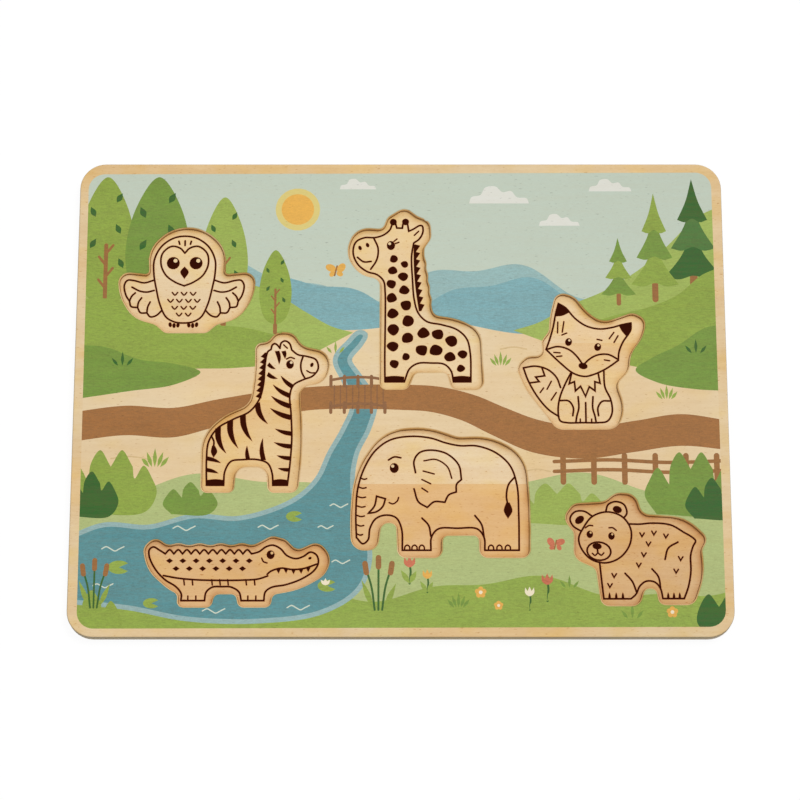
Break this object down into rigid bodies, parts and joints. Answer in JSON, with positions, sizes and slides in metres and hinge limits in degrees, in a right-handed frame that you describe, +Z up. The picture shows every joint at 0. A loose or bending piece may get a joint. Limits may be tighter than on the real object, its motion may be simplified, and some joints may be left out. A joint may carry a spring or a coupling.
{
  "type": "wooden animal puzzle",
  "caption": "Flat wooden shape puzzle: a printed board with animal-shaped wells, each holding a flat wooden animal that lifts out.",
  "frame": {"origin": "under the middle of the board, on the surface that it lies on", "axes": "+X along the board's long side, +Y away from the player along the short side, +Z up out of the printed face"},
  "size_m": [0.3, 0.225, 0.006],
  "materials": {
    "backing_wood": "bare plywood, fine sanded",
    "printed_wood": "plywood printed with a landscape in matt ink, bare rim",
    "owl_wood": "bare plywood with a burnt line drawing",
    "giraffe_wood": "bare plywood with a burnt line drawing",
    "fox_wood": "bare plywood with a burnt line drawing",
    "zebra_wood": "bare plywood with a burnt line drawing",
    "elephant_wood": "bare plywood with a burnt line drawing",
    "crocodile_wood": "bare plywood with a burnt line drawing",
    "bear_wood": "bare plywood with a burnt line drawing"
  },
  "bodies": {
    "board": {"backing_board": "backing_wood", "face_panel": "printed_wood"},
    "owl": {"owl_piece": "owl_wood"},
    "giraffe": {"giraffe_piece": "giraffe_wood"},
    "fox": {"fox_piece": "fox_wood"},
    "zebra": {"zebra_piece": "zebra_wood"},
    "elephant": {"elephant_piece": "elephant_wood"},
    "crocodile": {"crocodile_piece": "crocodile_wood"},
    "bear": {"bear_piece": "bear_wood"}
  },
  "joints": [
    {"name": "owl_lift", "type": "slide", "parent": "board", "child": "owl", "axis": [0, 0, 1], "range_m": [0, 0.03]},
    {"name": "giraffe_lift", "type": "slide", "parent": "board", "child": "giraffe", "axis": [0, 0, 1], "range_m": [0, 0.03]},
    {"name": "fox_lift", "type": "slide", "parent": "board", "child": "fox", "axis": [0, 0, 1], "range_m": [0, 0.03]},
    {"name": "zebra_lift", "type": "slide", "parent": "board", "child": "zebra", "axis": [0, 0, 1], "range_m": [0, 0.03]},
    {"name": "elephant_lift", "type": "slide", "parent": "board", "child": "elephant", "axis": [0, 0, 1], "range_m": [0, 0.03]},
    {"name": "crocodile_lift", "type": "slide", "parent": "board", "child": "crocodile", "axis": [0, 0, 1], "range_m": [0, 0.03]},
    {"name": "bear_lift", "type": "slide", "parent": "board", "child": "bear", "axis": [0, 0, 1], "range_m": [0, 0.03]}
  ]
}
